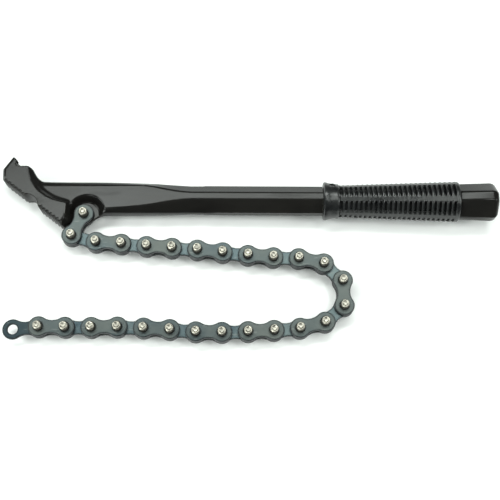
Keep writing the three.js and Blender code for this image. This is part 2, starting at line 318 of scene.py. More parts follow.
# ---- Shared surface effects, as node groups ----
class Effects:
    """The node groups that several finishes share."""

    def __init__(self, name: str, inputs: dict[str, float], outputs: tuple[str, ...]) -> None:
        """Starts a shader node group with plain number sockets.

        Args:
            name: The group's name.
            inputs: Each input's name and default.
            outputs: The outputs' names.
        """
        self.group = bpy.data.node_groups.new(name, "ShaderNodeTree")
        for label, value in inputs.items():
            self._socket(label, "INPUT").default_value = value
        for label in outputs:
            self._socket(label, "OUTPUT")
        self.source = self.node("NodeGroupInput")
        self.sink = self.node("NodeGroupOutput")

    def _socket(self, label: str, side: str) -> bpy.types.NodeTreeInterfaceSocket:
        """Adds one number socket to the group.

        Args:
            label: The socket's name.
            side: INPUT or OUTPUT.

        Returns:
            The socket.
        """
        return self.group.interface.new_socket(name=label, in_out=side, socket_type="NodeSocketFloat")

    def node(self, kind: str, operation: str = "", **values: float | Colour) -> bpy.types.Node:
        """Adds a node.

        Args:
            kind: The node's type.
            operation: What a maths node does.
            values: Values for its inputs, with _ for a space in an input's name.

        Returns:
            The node.
        """
        node = self.group.nodes.new(kind)
        if operation:
            node.operation = operation
        for label, value in values.items():
            node.inputs[label.replace("_", " ")].default_value = value
        return node

    def wire(self, *pairs: tuple[bpy.types.Node, str | int, bpy.types.Node, str | int]) -> None:
        """Links sockets.

        Args:
            pairs: For each link the node and socket it leaves and the node and socket it enters.
        """
        for start, out, end, into in pairs:
            self.group.links.new(start.outputs[out], end.inputs[into])

    @classmethod
    def edge_wear_and_shade(cls) -> bpy.types.NodeTree:
        """Finds the piece's edges, broken up by noise: worn edges on the paint and the rubber, painted shade
        along the plates' rims.

        Returns:
            A group that puts out a mask, 1 along edges. Evenness 1 leaves the line unbroken.
        """
        if "edge wear and shade" in bpy.data.node_groups:
            return bpy.data.node_groups["edge wear and shade"]
        inputs = {"Radius": 0.0005, "Breakup": 600.0, "Evenness": 0.0, "Amount": 1.0}
        work = cls("edge wear and shade", inputs, ("Mask",))
        bevel = work.node("ShaderNodeBevel")
        bevel.samples = 4
        geometry = work.node("ShaderNodeNewGeometry")
        dot = work.node("ShaderNodeVectorMath", "DOT_PRODUCT")
        fall = work.node("ShaderNodeMapRange", From_Min=0.995, From_Max=0.90)
        place = work.node("ShaderNodeTexCoord")
        noise = work.node("ShaderNodeTexNoise", Detail=3.0)
        patchy = work.node("ShaderNodeMapRange", From_Min=0.42, From_Max=0.62)
        filled = work.node("ShaderNodeMath", "MAXIMUM")
        both = work.node("ShaderNodeMath", "MULTIPLY")
        scaled = work.node("ShaderNodeMath", "MULTIPLY")
        scaled.use_clamp = True
        work.wire(
            (work.source, "Radius", bevel, "Radius"),
            (bevel, "Normal", dot, 0),
            (geometry, "Normal", dot, 1),
            (dot, "Value", fall, "Value"),
            (place, "Object", noise, "Vector"),
            (work.source, "Breakup", noise, "Scale"),
            (noise, "Fac", patchy, "Value"),
            (fall, "Result", both, 0),
            (patchy, "Result", filled, 0),
            (work.source, "Evenness", filled, 1),
            (filled, "Value", both, 1),
            (both, "Value", scaled, 0),
            (work.source, "Amount", scaled, 1),
            (scaled, "Value", work.sink, "Mask"),
        )
        return work.group

    @classmethod
    def stamped_side(cls) -> bpy.types.NodeTree:
        """Finds the sides and rolled edges of a level plate, where the plate steel paints shade.

        Returns:
            A group that puts out a mask, 1 where the surface turns away from the plate's broad faces.
        """
        if "stamped side" in bpy.data.node_groups:
            return bpy.data.node_groups["stamped side"]
        work = cls("stamped side", {}, ("Mask",))
        place = work.node("ShaderNodeTexCoord")
        split = work.node("ShaderNodeSeparateXYZ")
        level = work.node("ShaderNodeMath", "ABSOLUTE")
        fall = work.node("ShaderNodeMapRange", From_Min=0.985, From_Max=0.85)
        work.wire(
            (place, "Normal", split, "Vector"),
            (split, "Z", level, 0),
            (level, "Value", fall, "Value"),
            (fall, "Result", work.sink, "Mask"),
        )
        return work.group

    @classmethod
    def grain(cls) -> bpy.types.NodeTree:
        """Mixes a broad mottle with a fine grain.

        Returns:
            A group that puts out a mottle mask and a height.
        """
        if "grain" in bpy.data.node_groups:
            return bpy.data.node_groups["grain"]
        work = cls("grain", {"Broad": 60.0, "Fine": 2500.0, "Stretch": 1.0}, ("Mottle", "Height"))
        place = work.node("ShaderNodeTexCoord")
        squeeze = work.node("ShaderNodeCombineXYZ", Y=1.0, Z=1.0)
        turned = work.node("ShaderNodeVectorMath", "MULTIPLY")
        broad = work.node("ShaderNodeTexNoise", Detail=4.0)
        fine = work.node("ShaderNodeTexNoise", Detail=5.0, Roughness=0.65)
        spread = work.node("ShaderNodeMapRange", From_Min=0.3, From_Max=0.7)
        work.wire(
            (work.source, "Stretch", squeeze, "X"),
            (place, "Object", turned, 0),
            (squeeze, "Vector", turned, 1),
            (turned, "Vector", broad, "Vector"),
            (turned, "Vector", fine, "Vector"),
            (work.source, "Broad", broad, "Scale"),
            (work.source, "Fine", fine, "Scale"),
            (broad, "Fac", spread, "Value"),
            (spread, "Result", work.sink, "Mottle"),
            (fine, "Fac", work.sink, "Height"),
        )
        return work.group

    @classmethod
    def scratches(cls) -> bpy.types.NodeTree:
        """Draws thin handling scratches in two directions.

        Returns:
            A group that puts out a mask, 1 in a scratch.
        """
        if "scratches" in bpy.data.node_groups:
            return bpy.data.node_groups["scratches"]
        work = cls("scratches", {"Scale": 120.0, "Amount": 1.0}, ("Mask",))
        place = work.node("ShaderNodeTexCoord")
        either = work.node("ShaderNodeMath", "MAXIMUM")
        scaled = work.node("ShaderNodeMath", "MULTIPLY")
        for entry, angle in enumerate((0.35, -0.9)):
            mapping = work.node("ShaderNodeMapping", Rotation=(0.2, 0.1, angle), Scale=(0.2, 1.0, 1.0))
            noise = work.node("ShaderNodeTexNoise", Detail=2.0)
            narrow = work.node("ShaderNodeMapRange", From_Min=0.665, From_Max=0.70)
            work.wire(
                (place, "Object", mapping, "Vector"),
                (mapping, "Vector", noise, "Vector"),
                (work.source, "Scale", noise, "Scale"),
                (noise, "Fac", narrow, "Value"),
                (narrow, "Result", either, entry),
            )
        work.wire(
            (either, "Value", scaled, 0),
            (work.source, "Amount", scaled, 1),
            (scaled, "Value", work.sink, "Mask"),
        )
        return work.group


class Bench:
    """Short calls for wiring one material's nodes."""

    def __init__(self, name: str) -> None:
        """Starts a material with a Principled shader.

        Args:
            name: The material's name.
        """
        self.material = bpy.data.materials.new(name)
        self.material.use_nodes = True
        self.nodes = self.material.node_tree.nodes
        self.links = self.material.node_tree.links
        self.shader = self.nodes["Principled BSDF"]

    def feed(self, value: bpy.types.NodeSocket, label: str) -> None:
        """Links a value or colour to one of the shader's inputs.

        Args:
            value: The socket it comes from.
            label: The shader input's name.
        """
        self.links.new(value, self.shader.inputs[label])

    def effect(self, group: bpy.types.NodeTree, **values: float) -> bpy.types.Node:
        """Places a node group with its own values.

        Args:
            group: The node group.
            values: The values for its inputs.

        Returns:
            The group's node.
        """
        node = self.nodes.new("ShaderNodeGroup")
        node.node_tree = group
        for label, value in values.items():
            node.inputs[label].default_value = value
        return node

    def blend(
        self, low: Colour | bpy.types.NodeSocket, high: Colour, mask: bpy.types.NodeSocket,
    ) -> bpy.types.NodeSocket:
        """Mixes two colours by a mask.

        Args:
            low: The colour, or a colour socket, where the mask is 0.
            high: The colour where the mask is 1.
            mask: The mask's socket.

        Returns:
            The mixed colour's socket.
        """
        mix = self.nodes.new("ShaderNodeMix")
        mix.data_type = "RGBA"
        self.links.new(mask, mix.inputs["Factor"])
        for slot, value in (("A", low), ("B", high)):
            socket = next(s for s in mix.inputs if s.name == slot and s.type == "RGBA")
            if isinstance(value, bpy.types.NodeSocket):
                self.links.new(value, socket)
            else:
                socket.default_value = (*value, 1.0)
        return next(s for s in mix.outputs if s.type == "RGBA")

    def span(self, mask: bpy.types.NodeSocket, low: float, high: float) -> bpy.types.NodeSocket:
        """Turns a mask into a value between two ends.

        Args:
            mask: The mask's socket.
            low: The value where the mask is 0.
            high: The value where the mask is 1.

        Returns:
            The value's socket.
        """
        node = self.nodes.new("ShaderNodeMapRange")
        node.inputs["To Min"].default_value = low
        node.inputs["To Max"].default_value = high
        self.links.new(mask, node.inputs["Value"])
        return node.outputs["Result"]

    def sum(self, first: bpy.types.NodeSocket, second: bpy.types.NodeSocket) -> bpy.types.NodeSocket:
        """Adds two values and keeps the sum between 0 and 1.

        Args:
            first: One value's socket.
            second: The other value's socket.

        Returns:
            The sum's socket.
        """
        node = self.nodes.new("ShaderNodeMath")
        node.operation = "ADD"
        node.use_clamp = True
        self.links.new(first, node.inputs[0])
        self.links.new(second, node.inputs[1])
        return node.outputs["Value"]

    def bump(self, height: bpy.types.NodeSocket, depth: float, strength: float) -> None:
        """Feeds a height to the shader's normal.

        Args:
            height: The height's socket.
            depth: How deep a height of 1 is, in metres.
            strength: How strongly it shows.
        """
        node = self.nodes.new("ShaderNodeBump")
        node.inputs["Distance"].default_value = depth
        node.inputs["Strength"].default_value = strength
        self.links.new(height, node.inputs["Height"])
        self.feed(node.outputs["Normal"], "Normal")


# ---- Finishes ----
class SteelTone(Enum):
    """The heat-treated colours of the chain's plates."""

    COVER = ((0.036, 0.048, 0.052), (0.090, 0.100, 0.094))
    INNER = ((0.030, 0.047, 0.057), (0.115, 0.145, 0.146))
    TAIL = ((0.016, 0.026, 0.031), (0.034, 0.048, 0.052))


@dataclass(frozen=True)
class GlossPaint:
    """Gloss black paint over a forging."""

    colour: Colour = (0.0050, 0.0048, 0.0046)
    thin: Colour = (0.011, 0.0105, 0.0095)
    bare: Colour = (0.20, 0.19, 0.165)
    roughness: tuple[float, float] = (0.15, 0.23)
    scuff: float = 0.14
    ior: float = 1.26

    def make(self) -> bpy.types.Material:
        """Builds the paint.

        Returns:
            The material.
        """
        bench = Bench("gloss black paint")
        grain = bench.effect(Effects.grain(), Broad=45.0, Fine=1500.0, Stretch=0.5)
        wear = bench.effect(Effects.edge_wear_and_shade(), Radius=0.00045, Breakup=420.0, Amount=0.5)
        marks = bench.effect(Effects.scratches(), Scale=140.0, Amount=0.35)
        base = bench.blend(self.colour, self.thin, grain.outputs["Mottle"])
        worn = bench.blend(base, self.bare, wear.outputs["Mask"])
        bench.feed(worn, "Base Color")
        rough = bench.span(grain.outputs["Mottle"], *self.roughness)
        scuffed = bench.span(marks.outputs["Mask"], 0.0, self.scuff)
        bench.feed(bench.sum(rough, scuffed), "Roughness")
        bench.bump(grain.outputs["Height"], 0.00006, 0.35)
        bench.shader.inputs["IOR"].default_value = self.ior
        return bench.material


@dataclass(frozen=True)
class GripRubber:
    """Satin moulded rubber."""

    colour: Colour = (0.0055, 0.006, 0.0065)
    dusty: Colour = (0.013, 0.014, 0.014)
    rubbed: Colour = (0.06, 0.06, 0.06)
    roughness: tuple[float, float] = (0.24, 0.33)

    def make(self) -> bpy.types.Material:
        """Builds the rubber.

        Returns:
            The material.
        """
        bench = Bench("moulded rubber")
        grain = bench.effect(Effects.grain(), Broad=90.0, Fine=3200.0, Stretch=1.0)
        wear = bench.effect(Effects.edge_wear_and_shade(), Radius=0.0004, Breakup=700.0, Amount=0.4)
        base = bench.blend(self.colour, self.dusty, grain.outputs["Mottle"])
        worn = bench.blend(base, self.rubbed, wear.outputs["Mask"])
        bench.feed(worn, "Base Color")
        rough = bench.span(grain.outputs["Mottle"], *self.roughness)
        bench.feed(rough, "Roughness")
        bench.bump(grain.outputs["Height"], 0.00008, 0.5)
        return bench.material


@dataclass(frozen=True)
class TreatedSteel:
    """Heat-treated plate steel with a mottled temper colour, and painted shade on its rolled rims and stamped
    sides.
    """

    name: str
    tone: SteelTone
    scratch: Colour = (0.22, 0.23, 0.22)
    # Painted shade: the dark colour painted on the rims and sides of the plates.
    painted_edge_shade: Colour = (0.009, 0.011, 0.013)
    roughness: tuple[float, float] = (0.36, 0.5)
    scuff: float = 0.15
    face_metallic: float = 0.85
    side_metallic: float = 0.1

    def make(self) -> bpy.types.Material:
        """Builds the steel.

        Returns:
            The material.
        """
        bench = Bench(self.name)
        grain = bench.effect(Effects.grain(), Broad=48.0, Fine=4200.0, Stretch=1.0)
        # Painted shade: a dark band along the rolled rims, where the bevelled edges look dark.
        rim = bench.effect(Effects.edge_wear_and_shade(), Radius=0.0015, Breakup=900.0, Evenness=0.9, Amount=5.0)
        side = bench.effect(Effects.stamped_side())
        marks = bench.effect(Effects.scratches(), Scale=620.0, Amount=0.25)
        dark, light = self.tone.value
        base = bench.blend(dark, light, grain.outputs["Mottle"])
        scratched = bench.blend(base, self.scratch, marks.outputs["Mask"])
        rim_shaded = bench.blend(scratched, self.painted_edge_shade, rim.outputs["Mask"])
        # Painted shade on the plate's sides and rolled edges; the metallic drops there too, so that the
        # painted shade shows.
        side_shaded = bench.blend(rim_shaded, self.painted_edge_shade, side.outputs["Mask"])
        bench.feed(side_shaded, "Base Color")
        rough = bench.span(grain.outputs["Mottle"], *self.roughness)
        scuffed = bench.span(marks.outputs["Mask"], 0.0, self.scuff)
        bench.feed(bench.sum(rough, scuffed), "Roughness")
        metallic = bench.span(side.outputs["Mask"], self.face_metallic, self.side_metallic)
        bench.feed(metallic, "Metallic")
        bench.bump(grain.outputs["Height"], 0.00005, 0.4)
        return bench.material


@dataclass(frozen=True)
class PinSteel:
    """Bright, slightly warm pin steel."""

    colour: Colour = (0.43, 0.41, 0.35)
    dull: Colour = (0.24, 0.23, 0.20)
    roughness: tuple[float, float] = (0.34, 0.5)

    def make(self) -> bpy.types.Material:
        """Builds the pin steel.

        Returns:
            The material.
        """
        bench = Bench("pin steel")
        grain = bench.effect(Effects.grain(), Broad=420.0, Fine=5000.0, Stretch=1.0)
        tone = bench.blend(self.colour, self.dull, grain.outputs["Mottle"])
        bench.feed(tone, "Base Color")
        rough = bench.span(grain.outputs["Mottle"], *self.roughness)
        bench.feed(rough, "Roughness")
        bench.shader.inputs["Metallic"].default_value = 1.0
        bench.bump(grain.outputs["Height"], 0.00005, 0.5)
        return bench.material


# ---- Forged handle ----
@dataclass
class ForgedHandle:
    """The one-piece forging: hook, toothed jaw, pocket and tongue, blade, shank, tang and butt.

    Its own frame has the anchor pin as origin, X towards the butt and Y away from the chain.
    """

    anchor: Vector
    heading: float = -0.4
    jaw_half: float = 7.8
    tooth_depth: float = 1.35
    tooth_tip: tuple[float, float] = (0.18, 0.42)
    tooth_root: float = 0.86
    tongue_half: float = 0.8
    axis_y: float = 10.1
    shank_half: float = 9.0
    shank_flat_half: float = 2.35
    tang_half: float = 7.4
    cut_x: float = 76.0
    grip_start: float = 150.6
    butt_start: float = 236.2
    butt_end: float = 260.6
    collar_radius: float = 12.122
    collar_chamfer: float = 1.2
    jaw_rest_x: float = -45.0
    chain_drop: float = 0.3
    edge_round: float = 0.6
    crease_round: float = 0.35
    jaw_fillet: float = 0.9
    pocket_fillet: float = 1.0
    pocket_rim_round: float = 0.6
    anchor_bore: float = 2.86
    slot_width: float = 8.0
    slot_round: float = 0.7
    slot_turn: float = 10.0

    @property
    def tilt(self) -> float:
        """The lie of the handle on the table, resting on its jaw and on the grip's collar, in radians."""
        collar_x = self.grip_start + self.collar_chamfer
        return math.atan((self.collar_radius - self.jaw_half) / (collar_x - self.jaw_rest_x))

    @property
    def place(self) -> Matrix:
        """The matrix from the handle's own frame, in metres, to the model's frame."""
        lift = Vector((0.0, 0.0, self.chain_drop * MM))
        turn = Matrix.Rotation(math.radians(self.heading), 4, "Z") @ Matrix.Rotation(-self.tilt, 4, "Y")
        return Matrix.Translation(self.anchor + lift) @ turn

    def _land(self, start: Corner, end: Corner, teeth: int) -> list[Corner]:
        """Draws one toothed land.

        Args:
            start: Where the land starts.
            end: Where it ends.
            teeth: How many teeth it has.

        Returns:
            The tooth tips and roots in order.
        """
        first, last = Vector(start), Vector(end)
        along = (last - first) / teeth
        inward = Vector((-along.y, along.x)).normalized() * self.tooth_depth
        points = []
        for tooth in range(teeth):
            base = first + along * tooth
            points += [base + along * share for share in self.tooth_tip]
            points += [base + along * self.tooth_root + inward, base + along + inward]
        return [tuple(point) for point in points]

    @staticmethod
    def _arc(centre: Corner, radius: float, start: float, end: float, steps: int) -> list[Corner]:
        """Draws an arc.

        Args:
            centre: The arc's centre.
            radius: Its radius.
            start: The first angle in degrees.
            end: The last angle in degrees.
            steps: How many pieces it has.

        Returns:
            The points in order, both ends among them.
        """
        angles = np.radians(np.linspace(start, end, steps + 1))
        return [(centre[0] + radius * math.cos(a), centre[1] + radius * math.sin(a)) for a in angles]

    def _outline(self) -> np.ndarray:
        """Draws the forging's outline on its parting plane, from the cut across the shank round the head.

        Returns:
            The corners, anticlockwise, in millimetres.
        """
        half = self.shank_half
        top = [
            (self.cut_x, self.axis_y + half), (67.0, self.axis_y + half), (60.0, 19.4), (54.0, 19.65),
            (46.0, 20.1), (38.0, 20.4), (25.0, 20.75), (12.0, 20.9), (0.0, 21.0), (-12.0, 21.0),
            (-22.0, 21.1), (-26.0, 21.3),
        ]
        throat = [
            (-28.0, 21.8), (-29.6, 22.8), (-31.0, 24.2), (-32.2, 26.0), (-33.2, 28.0), (-34.4, 29.3),
            (-36.0, 30.2),
        ]
        nose = [
            (-37.8, 30.5), (-40.0, 30.5), (-42.0, 30.45), (-42.9, 30.7), (-43.7, 31.3), (-44.3, 32.1),
            (-44.2, 32.8), (-43.4, 33.4), (-43.5, 34.1), (-44.6, 35.3), (-45.8, 36.4), (-46.8, 36.9),
            (-47.5, 36.4), (-49.0, 34.4), (-51.0, 31.6), (-52.6, 29.2), (-52.9, 28.2), (-52.7, 25.0),
            (-52.4, 21.8),
        ]
        first_land = self._land((-52.2, 21.3), (-38.0, 10.5), 6)
        relief = self._arc((-35.7, 3.9), 7.1, 106, 6, 14)
        second_land = self._land((-28.5, 3.4), (-13.6, -7.8), 7)
        tongue = [
            (-13.0, -8.4), (-12.2, -8.6), (-10.6, -7.5), (-9.0, -6.3), (-7.0, -5.6), (-4.6, -5.9),
            (-2.2, -6.3), (0.0, -6.6), (2.4, -6.1), (4.8, -4.7), (7.4, -2.9), (10.0, -1.2), (12.0, 0.0),
            (14.0, 0.35),
        ]
        bottom = [
            (25.0, 0.4), (38.0, 0.5), (46.0, 0.62), (54.0, 0.8), (60.0, 0.95), (67.0, 1.1),
            (self.cut_x, 1.1),
        ]
        return np.array([*top, *throat, *nose, *first_land, *relief, *second_land, *tongue, *bottom], float)

    def _blade_height(self, x: np.ndarray, y: np.ndarray) -> np.ndarray:
        """The half thickness of the blade and shank, flat in the middle and sloped to both edges.

        Args:
            x: Places along the handle.
            y: Places across it.

        Returns:
            The half thickness at each place.
        """
        half, flat = self.shank_half, self.shank_flat_half
        shank_row = (
            self.axis_y + half, self.axis_y - half, half, self.axis_y + flat, self.axis_y - flat, flat,
        )
        rows = np.array([
            # x, top edge, bottom edge, half thickness, flat's top, flat's bottom, upright edge
            (-31.0, 21.2, 10.0, 4.8, 18.5, 12.0, 3.1),
            (-22.0, 21.1, 0.6, 5.0, 18.3, 2.5, 3.2),
            (12.0, 20.9, 0.3, 5.9, 18.2, 2.3, 3.5),
            (26.0, 20.7, 0.4, 6.6, 18.1, 2.9, 3.5),
            (38.0, 20.4, 0.5, 7.3, 17.8, 3.9, 3.3),
            (46.0, 20.1, 0.65, 7.8, 16.3, 5.1, 3.3),
            (54.0, 19.65, 0.8, 8.3, 14.4, 6.4, 2.9),
            (61.0, 19.3, 1.0, 8.75, 13.1, 7.3, 2.5),
            (67.0, *shank_row),
            (80.0, *shank_row),
        ])
        columns = (np.interp(x, rows[:, 0], column) for column in rows[:, 1:].T)
        top, bottom, thick, flat_top, flat_bottom, upright = columns
        upper = upright + (top - y) * (thick - upright) / (top - flat_top)
        lower = upright + (y - bottom) * (thick - upright) / (flat_bottom - bottom)
        return soft_min(soft_min(thick, upper, self.crease_round), lower, self.crease_round)

    def _jaw_height(self, points: np.ndarray) -> np.ndarray:
        """The half thickness of the jaw, flat on its side and sloped along its back and throat.

        Args:
            points: The places, one row each.

        Returns:
            The half thickness at each place.
        """
        flat_side = np.array([
            (-36.8, 45), (-36.3, 29.7), (-35.1, 25.1), (-33.7, 20.8), (-30.7, 16.1), (-27.8, 12.9),
            (-23.6, 10.0), (-19.1, 7.8), (-14.7, 6.7), (-10.7, 5.7), (-10.7, -20), (-50.2, -20),
            (-50.5, 20.1), (-51.0, 28.2), (-46.2, 35.6), (-40, 45),
        ], float)
        gap = signed_gap(points, flat_side)
        steep = np.interp(points[:, 0], [-46, -42, -34, -20, -10], [1.45, 1.1, 0.85, 1.0, 1.25])
        flat = np.full(len(points), self.jaw_half)
        return soft_min(flat, self.jaw_half - steep * gap, self.crease_round)

    def _pocket_height(self, points: np.ndarray) -> np.ndarray:
        """The floor and sloped walls of the recess round the anchor pin.

        Args:
            points: The places, one row each.

        Returns:
            The height that the recess leaves at each place.
        """
        rim = self._arc((1.3, -0.1), 8.6, 0, 158, 28)
        floor = np.array([*rim, (-7.2, -2.1), (-7.8, -5.6), (-10.6, -9.8), (-14, -16), (9.9, -16)], float)
        steep = np.interp(points[:, 0], [-8, 8], [1.95, 1.42])
        wall = self.tongue_half + steep * signed_gap(points, floor)
        return soft_max(np.full(len(points), self.tongue_half), wall, self.pocket_fillet)

    def _height(self, points: np.ndarray, outline: np.ndarray) -> np.ndarray:
        """The half thickness of the whole head, with its outer edge rounded.

        Args:
            points: The places, one row each.
            outline: The forging's outline.

        Returns:
            The half thickness at each place.
        """
        blade = self._blade_height(points[:, 0], points[:, 1])
        body = soft_max(self._jaw_height(points), blade, self.jaw_fillet)
        pocketed = soft_min(body, self._pocket_height(points), self.pocket_rim_round)
        height = np.maximum(pocketed, self.tongue_half)
        rim = np.minimum(gap_to_outline(points, outline), self.edge_round)
        drop = self.edge_round - np.sqrt(self.edge_round ** 2 - (self.edge_round - rim) ** 2)
        # The thin tongue is rounded half as much, and the cut across the shank not at all.
        on_tongue = height < 1.5 * self.tongue_half
        at_cut = np.isclose(points[:, 0], self.cut_x, atol=0.7)
        share = np.where(on_tongue, 0.5, 1.0) * np.where(at_cut, 0.0, 1.0)
        return height - drop * share

    def _grid_lines(self) -> tuple[list[float], list[float]]:
        """Chooses where the head's face is cut into a fine grid.

        Returns:
            The places of the cuts across and along the handle.
        """
        # Each stretch has its first place, its end and its step.
        across = [(-52.6, 16.0, 0.72), (16.2, self.cut_x - 0.5, 1.5)]
        along = [(-8.2, 0.9, 0.66), (1.4, 19.0, 0.58), (19.4, 36.8, 0.66)]
        return (
            [place for stretch in across for place in np.arange(*stretch)],
            [place for stretch in along for place in np.arange(*stretch)],
        )

    def _make_head(self) -> bpy.types.Object:
        """Models one side of the head as a fine grid within its outline, then mirrors it.

        Returns:
            The head, open at the cut across the shank.
        """
        outline = self._outline()
        bpy.ops.mesh.primitive_circle_add(vertices=len(outline), radius=0.02, fill_type="NGON")
        head = adopt("forged_handle")
        for vertex, (x, y) in zip(head.data.vertices, outline * MM):
            vertex.co = (x, y, 0.0)
        across, along = self._grid_lines()
        with edit_mode(head):
            bpy.ops.mesh.select_all(action="SELECT")
            for _ in range(2):
                bpy.ops.mesh.inset(thickness=self.edge_round * 0.5 * MM, use_even_offset=True)
            for x in across:
                bpy.ops.mesh.select_all(action="SELECT")
                bpy.ops.mesh.bisect(plane_co=(x * MM, 0, 0), plane_no=(1, 0, 0), threshold=CUT_REACH)
            for y in along:
                bpy.ops.mesh.select_all(action="SELECT")
                bpy.ops.mesh.bisect(plane_co=(0, y * MM, 0), plane_no=(0, 1, 0), threshold=CUT_REACH)
            bpy.ops.mesh.select_all(action="SELECT")
            bpy.ops.mesh.remove_doubles(threshold=WELD_REACH)
        places = read_points(head)
        places[:, 2] = self._height(places[:, :2] / MM, outline) * MM
        write_points(head, places)
        with edit_mode(head):
            pick(head, "EDGE", lambda edge: edge.is_boundary and not self._at_cut(edge))
            bpy.ops.mesh.extrude_edges_move()
            bpy.ops.transform.resize(value=(1, 1, 0), center_override=(0, 0, 0))
        apply_modifier(
            head, "MIRROR", use_axis=(False, False, True), use_clip=True, merge_threshold=SEAM_REACH,
        )
        return head

    def _at_cut(self, edge: bmesh.types.BMEdge) -> bool:
        """Says whether an edge lies on the cut across the shank."""
        return all(abs(vertex.co.x - self.cut_x * MM) < SEAM_REACH for vertex in edge.verts)

    def _draw_out(self, head: bpy.types.Object) -> None:
        """Draws the open end of the head out into the shank, the hidden tang and the butt.

        Args:
            head: The head, open at its cut.
        """
        shank, tang = self.shank_half, self.tang_half
        start, end = self.butt_start, self.butt_end
        rings = [
            # place along the handle, half width across the flats
            (84.0, shank), (self.grip_start - 0.3, shank), (self.grip_start - 0.2, tang),
            (start - 0.1, tang), (start, 10.6), (start + 0.5, 10.95), (end - 4.6, 11.6),
            (end - 3.4, 11.5), (end - 2.3, 11.15), (end - 1.4, 10.55), (end - 0.7, 9.7),
            (end - 0.2, 8.5), (end, 7.2),
        ]
        with edit_mode(head):
            pick(head, "EDGE", lambda edge: edge.is_boundary and self._at_cut(edge))
            last_x, last_half = self.cut_x, self.shank_half
            for x, half in rings:
                scale = half / last_half
                centre = (x * MM, self.axis_y * MM, 0)
                bpy.ops.mesh.extrude_edges_move(TRANSFORM_OT_translate={"value": ((x - last_x) * MM, 0, 0)})
                bpy.ops.transform.resize(value=(1, scale, scale), center_override=centre)
                last_x, last_half = x, half
            bpy.ops.mesh.edge_face_add()

    def _cut_slot(self, head: bpy.types.Object) -> None:
        """Cuts the gap between the hook's two cheeks, where the chain passes.

        Args:
            head: The forging.
        """
        length, depth = 60.0, 30.0
        bpy.ops.mesh.primitive_cube_add(
            size=1, location=(0, depth / 2 * MM, 0), scale=(length * MM, depth * MM, self.slot_width * MM),
        )
        slot = adopt("slot_tool")
        bpy.ops.object.transform_apply(location=True, rotation=True, scale=True)
        apply_modifier(slot, "BEVEL", width=self.slot_round * MM, segments=3, limit_method="ANGLE")
        turn = Matrix.Rotation(math.radians(self.slot_turn), 4, "Z")
        slot.data.transform(Matrix.Translation((-33.6 * MM, 27.7 * MM, 0)) @ turn)
        cut_with(head, slot)

    def _drill(self, head: bpy.types.Object) -> None:
        """Drills the tongue for the anchor pin.

        Args:
            head: The forging.
        """
        bpy.ops.mesh.primitive_cylinder_add(vertices=40, radius=self.anchor_bore * MM, depth=6 * MM)
        cut_with(head, adopt("anchor_drill"))

    def build(self, paint: bpy.types.Material) -> bpy.types.Object:
        """Models the forging and paints it.

        Args:
            paint: The finish.

        Returns:
            The finished forging.
        """
        forging = self._make_head()
        self._draw_out(forging)
        tidy_normals(forging, 5e-6)
        self._cut_slot(forging)
        self._drill(forging)
        forging.data.transform(self.place)
        smooth(forging, 42)
        forging.data.materials.append(paint)
        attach(forging, "handle")
        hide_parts("handle_forging")
        return forging


